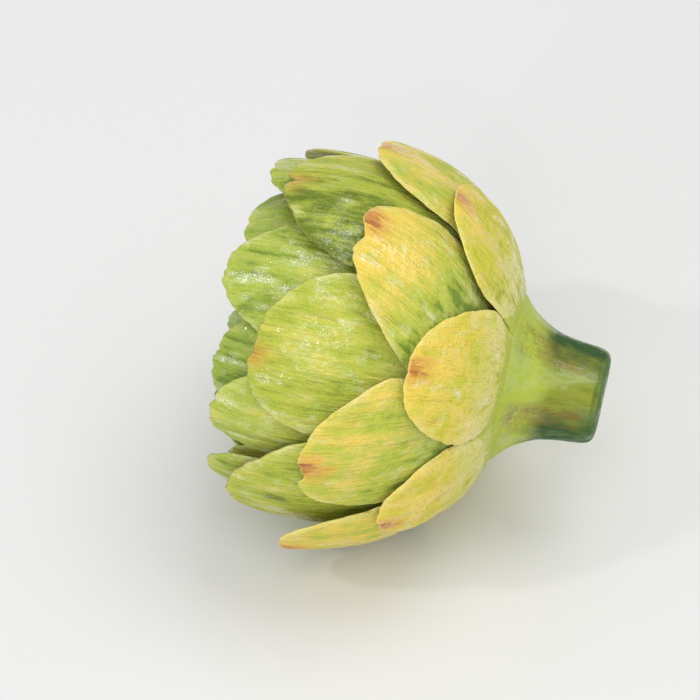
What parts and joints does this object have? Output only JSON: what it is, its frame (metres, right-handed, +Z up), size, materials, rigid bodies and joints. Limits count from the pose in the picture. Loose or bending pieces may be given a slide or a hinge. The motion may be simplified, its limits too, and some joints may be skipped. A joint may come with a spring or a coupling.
{
  "type": "artichoke",
  "caption": "Globe artichoke lying on its side, with a short cut stalk and broad overlapping scale leaves that close into a blunt bud.",
  "frame": {"origin": "centre of the bounding box at table height", "axes": "+Z up, +X along the bud axis towards the cut end of the stalk, which droops a little"},
  "size_m": [0.1022, 0.1088, 0.1016],
  "materials": {
    "stalk_skin": "satin",
    "basal_skin": "satin",
    "lower_skin": "satin",
    "middle_skin": "satin",
    "upper_skin": "satin",
    "crown_skin": "satin",
    "inner_skin": "satin",
    "heart_skin": "satin",
    "bud_skin": "satin"
  },
  "bodies": {
    "root": {"stalk_and_heart": "stalk_skin", "basal_bract_1": "basal_skin", "basal_bract_2": "basal_skin", "basal_bract_3": "basal_skin", "basal_bract_4": "basal_skin", "basal_bract_5": "basal_skin", "basal_bract_6": "basal_skin", "lower_bract_1": "lower_skin", "lower_bract_2": "lower_skin", "lower_bract_3": "lower_skin", "lower_bract_4": "lower_skin", "lower_bract_5": "lower_skin", "lower_bract_6": "lower_skin", "middle_bract_1": "middle_skin", "middle_bract_2": "middle_skin", "middle_bract_3": "middle_skin", "middle_bract_4": "middle_skin", "middle_bract_5": "middle_skin", "middle_bract_6": "middle_skin", "upper_bract_1": "upper_skin", "upper_bract_2": "upper_skin", "upper_bract_3": "upper_skin", "upper_bract_4": "upper_skin", "upper_bract_5": "upper_skin", "upper_bract_6": "upper_skin", "crown_bract_1": "crown_skin", "crown_bract_2": "crown_skin", "crown_bract_3": "crown_skin", "crown_bract_4": "crown_skin", "crown_bract_5": "crown_skin", "crown_bract_6": "crown_skin", "inner_bract_1": "inner_skin", "inner_bract_2": "inner_skin", "inner_bract_3": "inner_skin", "inner_bract_4": "inner_skin", "inner_bract_5": "inner_skin", "inner_bract_6": "inner_skin", "heart_bract_1": "heart_skin", "heart_bract_2": "heart_skin", "heart_bract_3": "heart_skin", "heart_bract_4": "heart_skin", "heart_bract_5": "heart_skin", "heart_bract_6": "heart_skin", "bud_bract_1": "bud_skin", "bud_bract_2": "bud_skin", "bud_bract_3": "bud_skin", "bud_bract_4": "bud_skin", "bud_bract_5": "bud_skin", "bud_bract_6": "bud_skin", "closed_bud": "bud_skin"}
  },
  "joints": []
}
